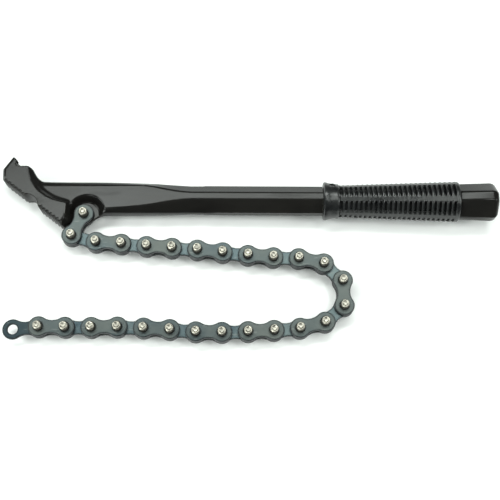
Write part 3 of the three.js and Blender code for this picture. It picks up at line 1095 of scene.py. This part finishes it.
# ---- Grip ----
@dataclass
class RibbedGrip:
    """The moulded sleeve: a flared collar, rows of ribs between smooth lengthwise strips, and an end ring."""

    handle: ForgedHandle
    start: float = 150.6
    end: float = 235.9
    collar_radius: float = 12.1
    collar_waist: float = 10.9
    collar_length: float = 10.0
    rib_lead: float = 0.5
    end_ring: float = 1.4
    rib_count: int = 24
    rib_start_radius: float = 10.3
    rib_end_radius: float = 12.8
    groove_start_depth: float = 2.1
    groove_end_depth: float = 3.3
    around: int = 96
    strips: int = 6
    strip_turn: float = -11.25
    strip_half_steps: int = 2
    bore: float = 8.0
    mark_radius: float = 2.3
    mark_turn: float = 38.0

    def _profile(self) -> list[Ring]:
        """Lists the rings along the sleeve.

        Returns:
            For each ring its place along the handle, its radius, and whether it lies in a groove.
        """
        lip, waist, ribs = self.collar_radius, self.collar_waist, self.rib_start_radius
        collar = [
            # distance from the sleeve's start, radius
            (0.0, self.bore), (0.0, lip - 1.3), (0.25, lip - 0.5), (0.8, lip - 0.05), (1.6, lip),
            (3.2, lip - 0.5), (5.5, lip - 0.95), (8.0, waist + 0.05), (9.4, waist), (9.7, waist - 0.2),
            (9.8, waist - 1.3), (10.2, waist - 1.3), (10.3, ribs - 0.2), (10.45, ribs),
        ]
        rings = [(self.start + along, radius, False) for along, radius in collar]
        first = self.start + self.collar_length + self.rib_lead
        pitch = (self.end - self.end_ring - first) / self.rib_count
        growth = self.rib_end_radius - self.rib_start_radius
        deepening = self.groove_end_depth - self.groove_start_depth
        for rib in range(self.rib_count):
            share = rib / (self.rib_count - 1)
            radius = self.rib_start_radius + growth * rib / (self.rib_count - 1)
            low = radius - self.groove_start_depth - deepening * share
            at = first + rib * pitch
            groove_and_rib = [
                # share of the pitch, radius, whether it lies in the groove
                (0.04, low + 0.3, True), (0.12, low, True), (0.40, low, True), (0.48, low + 0.3, True),
                (0.53, radius - 0.35, True), (0.65, radius, False), (0.85, radius, False),
                (0.97, radius - 0.35, True),
            ]
            rings += [(at + along * pitch, reach, groove) for along, reach, groove in groove_and_rib]
        last = self.rib_end_radius
        end_ring = [
            # distance before the sleeve's end, radius
            (1.3, last - 0.1), (0.7, last - 0.15), (0.2, last - 0.5), (0.0, last - 1.1), (0.0, self.bore),
        ]
        rings += [(self.end - before, radius, False) for before, radius in end_ring]
        return rings

    def build(self, rubber: bpy.types.Material) -> bpy.types.Object:
        """Models the sleeve by drawing one ring along its profile.

        Args:
            rubber: The finish.

        Returns:
            The finished sleeve.
        """
        rings = self._profile()
        bpy.ops.mesh.primitive_circle_add(
            vertices=self.around, radius=rings[0][1] * MM, fill_type="NOTHING", rotation=(0, math.pi / 2, 0),
        )
        sleeve = adopt("ribbed_grip")
        bpy.ops.object.transform_apply(location=True, rotation=True, scale=True)
        with edit_mode(sleeve):
            bpy.ops.mesh.select_all(action="SELECT")
            for (at, radius, _), (last_at, last_radius, _) in zip(rings[1:], rings):
                scale = radius / last_radius
                centre = ((at - rings[0][0]) * MM, 0, 0)
                bpy.ops.mesh.extrude_edges_move(TRANSFORM_OT_translate={"value": ((at - last_at) * MM, 0, 0)})
                bpy.ops.transform.resize(value=(1, scale, scale), center_override=centre)
        self._fill_strips(sleeve, rings)
        with edit_mode(sleeve):
            pick(sleeve, "EDGE", lambda edge: edge.is_boundary)
            bpy.ops.mesh.bridge_edge_loops()
        tidy_normals(sleeve)
        self._add_gate_mark(sleeve)
        shift = Matrix.Translation((rings[0][0] * MM, self.handle.axis_y * MM, 0))
        sleeve.data.transform(self.handle.place @ shift)
        smooth(sleeve, 35)
        sleeve.data.materials.append(rubber)
        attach(sleeve, "handle")
        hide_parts("grip_sleeve")
        return sleeve

    def _fill_strips(self, sleeve: bpy.types.Object, rings: list[Ring]) -> None:
        """Lifts the grooves to the ribs' height along each smooth strip.

        Args:
            sleeve: The drawn sleeve.
            rings: The rings it was drawn along.
        """
        crest_at = [at for at, _, groove in rings if not groove]
        crest = [radius for _, radius, groove in rings if not groove]
        places = read_points(sleeve)
        along = places[:, 0] / MM + rings[0][0]
        angle = np.degrees(np.arctan2(places[:, 1], places[:, 2]))
        spacing = 360 / self.strips
        off = np.abs((angle - self.strip_turn + spacing / 2) % spacing - spacing / 2)
        width = (self.strip_half_steps + 0.5) * 360 / self.around
        in_ribs = (along > self.start + self.collar_length) & (along < self.end - self.end_ring)
        strip = in_ribs & (off < width)
        radius = np.hypot(places[:, 1], places[:, 2])
        flat = np.cos(math.radians(width)) / np.cos(np.radians(np.minimum(off, width)))
        wanted = np.interp(along, crest_at, crest) * MM * flat
        scale = np.where(strip, wanted / radius, 1.0)
        places[:, 1] *= scale
        places[:, 2] *= scale
        write_points(sleeve, places)

    def _add_gate_mark(self, sleeve: bpy.types.Object) -> None:
        """Raises the small round mark on the collar.

        Args:
            sleeve: The sleeve, still about its own axis.
        """
        bpy.ops.mesh.primitive_cylinder_add(vertices=28, radius=self.mark_radius * MM, depth=1.0 * MM)
        mark = adopt("gate_mark")
        with edit_mode(mark):
            pick(mark, "FACE", lambda face: face.normal.z > 0.9)
            bpy.ops.mesh.inset(thickness=0.45 * MM)
            bpy.ops.mesh.inset(thickness=0.1 * MM)
            bpy.ops.transform.translate(value=(0, 0, -0.6 * MM))
        turn = Matrix.Rotation(-math.radians(self.mark_turn), 4, "X")
        mark.data.transform(turn @ Matrix.Translation((5.4 * MM, 0, (self.collar_waist + 0.3) * MM)))
        join(sleeve, mark)


# ---- Chain ----
@dataclass
class LinkPlate:
    """A waisted, stamped link plate. Its own frame has the first pin as origin and X towards the second."""

    hole_radii: tuple[float, float]
    pitch: float = 15.875
    head_radius: float = 6.25
    waist_half: float = 4.0
    thickness: float = 2.2
    rolled_edge: float = 0.5
    around: int = 44
    waist_steps: int = 6

    def _angles(self) -> list[float]:
        """Spreads one head's points round its hole, closer together on the waist's middle line.

        Returns:
            The points' directions, seen from the hole.
        """
        corner = math.atan2(self.waist_half, self.pitch / 2)
        inner = np.linspace(-corner, corner, self.waist_steps + 1)[:-1]
        outer = np.linspace(corner, 2 * math.pi - corner, self.around - self.waist_steps + 1)[:-1]
        return [*inner, *outer]

    def _reach(self, angle: float) -> float:
        """How far the plate reaches from its hole in one direction, up to the waist's middle line.

        Args:
            angle: The direction, 0 towards the other hole.

        Returns:
            The distance in millimetres.
        """
        middle, narrow, wide = self.pitch / 2, self.waist_half, self.head_radius
        turn = abs((angle + math.pi) % (2 * math.pi) - math.pi)
        if turn <= math.atan2(narrow, middle) + 1e-9:
            return middle / math.cos(turn)
        waist = (middle ** 2 + narrow ** 2 - wide ** 2) / (2 * (wide - narrow))
        rise = narrow + waist
        if turn >= math.atan2(rise, middle):
            return wide
        along = middle * math.cos(turn) + rise * math.sin(turn)
        return along - math.sqrt(along ** 2 - middle ** 2 - rise ** 2 + waist ** 2)

    def _head(self, hole: float, mirrored: bool) -> bpy.types.Object:
        """Models one half of the plate round its hole.

        Args:
            hole: The hole's radius.
            mirrored: Whether this half is the far one.

        Returns:
            A flat ring from the hole to the plate's edge.
        """
        angles = self._angles()
        bpy.ops.mesh.primitive_circle_add(vertices=len(angles), radius=hole * MM, fill_type="NOTHING")
        half = adopt("plate_half")
        for vertex, angle in zip(half.data.vertices, angles):
            vertex.co = (hole * MM * math.cos(angle), hole * MM * math.sin(angle), 0)
        with edit_mode(half):
            bpy.ops.mesh.select_all(action="SELECT")
            bpy.ops.mesh.extrude_edges_move()
        for vertex, angle in zip(half.data.vertices[len(angles):], angles):
            reach = self._reach(angle) * MM
            vertex.co = (reach * math.cos(angle), reach * math.sin(angle), 0)
        if mirrored:
            shift = Matrix.Translation((self.pitch * MM, 0, 0))
            half.data.transform(shift @ Matrix.Rotation(math.pi, 4, "Z"))
        return half

    def build(self, name: str, low: float) -> bpy.types.Object:
        """Models the plate.

        Args:
            name: The piece's name.
            low: The height of its lower face over the chain's middle, in millimetres.

        Returns:
            The plate in its own frame.
        """
        first = self._head(self.hole_radii[0], False)
        second = self._head(self.hole_radii[1], True)
        join(first, second)
        plate = adopt(name)
        with edit_mode(plate):
            bpy.ops.mesh.select_all(action="SELECT")
            bpy.ops.mesh.remove_doubles(threshold=1e-5)
            bpy.ops.mesh.extrude_region_move(TRANSFORM_OT_translate={"value": (0, 0, self.thickness * MM)})
        tidy_normals(plate)
        apply_modifier(
            plate, "BEVEL", width=self.rolled_edge * MM, segments=3, limit_method="ANGLE",
            angle_limit=math.radians(50), use_clamp_overlap=True,
        )
        plate.data.transform(Matrix.Translation((0, 0, low * MM)))
        smooth(plate, 50)
        apply_modifier(plate, "WEIGHTED_NORMAL", mode="FACE_AREA", weight=100, keep_sharp=True)
        return plate


@dataclass
class RivetPin:
    """A chain pin with long, chamfered and slightly dished ends."""

    radius: float = 2.54
    half_length: float = 8.3
    chamfer: float = 0.4
    land: float = 0.35
    dish: float = 0.6
    dish_slope: float = 0.5
    dish_share: float = 0.8
    around: int = 28

    def build(self, name: str, pitch: float) -> bpy.types.Object:
        """Models the two pins of one outer link.

        Args:
            name: The piece's name.
            pitch: The distance between the pins.

        Returns:
            Both pins as one piece.
        """
        bpy.ops.mesh.primitive_cylinder_add(
            vertices=self.around, radius=self.radius * MM, depth=2 * self.half_length * MM,
        )
        pin = adopt(name)
        with edit_mode(pin):
            for side in (1, -1):
                pick(pin, "FACE", lambda face: face.normal.z * side > 0.9 and len(face.verts) > 4)
                bpy.ops.mesh.inset(thickness=self.chamfer * MM)
                bpy.ops.mesh.inset(thickness=self.land * MM)
                for share in (self.dish_share, 1 - self.dish_share):
                    bpy.ops.mesh.inset(thickness=self.dish_slope * MM)
                    bpy.ops.transform.translate(value=(0, 0, -side * self.dish * share * MM))
                rim = self.half_length * MM
                outer = (self.radius - 0.01) * MM
                pick(pin, "EDGE", lambda edge: all(
                    side * vertex.co.z > rim - 1e-6 and vertex.co.xy.length > outer for vertex in edge.verts
                ))
                bpy.ops.transform.translate(value=(0, 0, -side * self.chamfer * MM))
        second = copy_of(pin, "second_pin", Matrix.Translation((pitch * MM, 0, 0)))
        join(pin, second)
        tidy_normals(pin)
        smooth(pin, 40)
        return pin


@dataclass
class LeafChain:
    """A leaf chain: paired outer plates on long pins, single inner plates, and an end link with an eye."""

    pitch: float = 15.875
    thickness: float = 2.2
    gap: float = 0.3
    bore: float = 2.66
    running_bore: float = 2.84
    eye: float = 3.05
    outer_links: int = 13

    def _places(self) -> list[Matrix]:
        """Finds each link's place from the model's hinges.

        Returns:
            A matrix for each link, from the anchor to the end eye.
        """
        pins = [Vector(joint["pos_m"]) for joint in frame["joints"]]
        low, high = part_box("end_link")
        eye = low + high - pins[-1]
        ends = [*pins[1:], Vector((eye.x, eye.y, pins[-1].z))]
        places = []
        for start, end in zip(pins, ends):
            turn = math.atan2(end.y - start.y, end.x - start.x)
            places.append(Matrix.Translation(start) @ Matrix.Rotation(turn, 4, "Z"))
        return places

    def build(
        self,
        cover: bpy.types.Material,
        inner: bpy.types.Material,
        tail: bpy.types.Material,
        bright: bpy.types.Material,
    ) -> int:
        """Models every link and hangs it on its body.

        Args:
            cover: The outer plates' finish.
            inner: The inner plates' finish.
            tail: The end link's finish.
            bright: The pins' finish.

        Returns:
            How many pieces were made.
        """
        outer_low = self.thickness / 2 + self.gap
        outer_plate = LinkPlate((self.bore, self.bore))
        near = outer_plate.build("near_plate_pattern", outer_low)
        far = outer_plate.build("far_plate_pattern", -outer_low - self.thickness)
        inner_plate = LinkPlate((self.running_bore, self.running_bore))
        middle = inner_plate.build("inner_plate_pattern", -self.thickness / 2)
        end = LinkPlate((self.running_bore, self.eye)).build("end_plate_pattern", -self.thickness / 2)
        pins = RivetPin().build("pins_pattern", self.pitch)
        made = 0
        for number, place in enumerate(self._places(), start=1):
            label = f"{(number + 1) // 2:02d}"
            if number % 2:
                node = f"outer_link_{label}"
                jobs = [
                    (near, f"near_plate_{label}", cover, "cover_plate_steel", f"{node}_cover_plate"),
                    (far, f"far_plate_{label}", cover, "pinned_plate_steel", f"{node}_pin_plate"),
                    (pins, f"pins_{label}", bright, "pinned_plate_steel", f"{node}_pin_plate"),
                ]
                body = f"outer_{label}"
            elif number < 2 * self.outer_links:
                jobs = [(middle, f"inner_plate_{label}", inner, "inner_plate_steel", f"inner_link_{label}")]
                body = f"inner_{label}"
            else:
                jobs = [(end, "end_plate", tail, "inner_plate_steel", "end_link")]
                body = "end"
            for pattern, name, finish, slot, node in jobs:
                piece = copy_of(pattern, name, place)
                piece.data.materials.append(finish)
                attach(piece, body)
                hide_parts(node)
                made += 1
        for pattern in (near, far, middle, end, pins):
            bpy.data.objects.remove(pattern)
        return made


# ---- Studio ----
@dataclass(frozen=True)
class Softbox:
    """One soft light that faces the wrench. Its place and size are in metres, its power in watts."""

    name: str
    spot: tuple[float, float, float]
    size: tuple[float, float]
    power: float
    tint: Colour = (0.94, 1.0, 0.96)

    def hang(self) -> None:
        """Hangs the light and turns it to the wrench."""
        data = bpy.data.lights.new(self.name, "AREA")
        data.shape = "RECTANGLE"
        data.size, data.size_y = self.size
        data.energy = self.power
        data.color = self.tint
        light = bpy.data.objects.new(self.name, data)
        bpy.context.scene.collection.objects.link(light)
        light.location = self.spot
        light.rotation_euler = (-Vector(self.spot)).to_track_quat("-Z", "Y").to_euler()


@dataclass
class Studio:
    """The pale table, the soft lights and the camera, which leans and turns by degrees."""

    anchor: Vector
    pin_top: float
    lean: float = 17.6316
    turn: float = -3.2134
    lens: float = 64.186
    camera_from_pin: tuple[float, float, float] = (0.09511, -0.19144, 0.52407)
    room_light: float = 0.07
    lamps: tuple[Softbox, ...] = (
        Softbox("overhead_softbox", (-0.10, 0.51, 1.20), (1.40, 0.26), 15.0),
        Softbox("grip_softbox", (0.42, 0.03, 1.20), (0.45, 0.14), 3.0),
        Softbox("key_lamp", (-0.66, -0.82, 0.85), (0.4, 0.3), 5.0),
        Softbox("left_fill", (-1.15, -0.15, 0.85), (0.5, 0.5), 9.0),
        Softbox("right_fill", (1.15, -0.15, 0.85), (0.5, 0.5), 9.0),
        Softbox("low_strip", (-0.85, -1.05, 0.26), (0.9, 0.16), 9.0),
    )

    def _camera(self) -> None:
        """Sets the camera over the table, leaning back a little towards the chain's side."""
        lean, turn = math.radians(self.lean), math.radians(self.turn)
        back = Vector((math.sin(turn) * math.sin(lean), -math.cos(turn) * math.sin(lean), math.cos(lean)))
        right = Vector((0, 1, 0)).cross(back).normalized()
        up = back.cross(right)
        data = bpy.data.cameras.new("camera")
        data.lens = self.lens
        data.sensor_width = 36
        data.clip_start = 0.01
        data.clip_end = 20
        camera = bpy.data.objects.new("camera", data)
        bpy.context.scene.collection.objects.link(camera)
        turned = Matrix((right, up, back)).transposed().to_4x4()
        x, y, z = self.camera_from_pin
        spot = Vector((self.anchor.x + x, self.anchor.y + y, self.pin_top + z))
        camera.matrix_world = Matrix.Translation(spot) @ turned
        bpy.context.scene.camera = camera

    def _floor(self) -> None:
        """Lays the pale table with a little unevenness in its colour."""
        bpy.ops.mesh.primitive_plane_add(size=6, location=(0, 0, 0))
        floor = adopt("table_top")
        bench = Bench("pale table")
        grain = bench.effect(Effects.grain(), Broad=6.0, Fine=300.0, Stretch=1.0)
        tone = bench.blend((0.90, 0.90, 0.90), (0.92, 0.92, 0.92), grain.outputs["Mottle"])
        bench.feed(tone, "Base Color")
        bench.shader.inputs["Roughness"].default_value = 0.95
        bench.shader.inputs["Specular IOR Level"].default_value = 0.1
        floor.data.materials.append(bench.material)

    def _world(self) -> None:
        """Gives the room a plain dim light."""
        world = bpy.data.worlds.new("studio")
        world.use_nodes = True
        background = world.node_tree.nodes["Background"]
        background.inputs["Color"].default_value = (1.0, 1.0, 1.0, 1.0)
        background.inputs["Strength"].default_value = self.room_light
        bpy.context.scene.world = world

    def build(self) -> None:
        """Sets up the camera, the table and the lights."""
        self._camera()
        self._floor()
        self._world()
        for lamp in self.lamps:
            lamp.hang()
        bpy.context.scene.view_settings.view_transform = "Standard"


def main() -> None:
    """Builds the studio, the handle, the grip and the chain in order and reports each."""
    logging.basicConfig(level=logging.INFO, format="%(name)s: %(message)s")
    anchor = Vector(frame["joints"][0]["pos_m"])
    pin_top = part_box("outer_link_01_pin_plate")[1].z
    Studio(anchor, pin_top).build()
    log.info("studio ready")
    handle = ForgedHandle(anchor)
    forging = handle.build(GlossPaint().make())
    log.info("%s: %d faces", forging.name, len(forging.data.polygons))
    sleeve = RibbedGrip(handle).build(GripRubber().make())
    log.info("%s: %d faces", sleeve.name, len(sleeve.data.polygons))
    cover = TreatedSteel("outer plate steel", SteelTone.COVER).make()
    inner = TreatedSteel("inner plate steel", SteelTone.INNER).make()
    tail = TreatedSteel("end plate steel", SteelTone.TAIL).make()
    made = LeafChain().build(cover, inner, tail, PinSteel().make())
    log.info("chain: %d pieces", made)


if __name__ == "__main__":
    main()
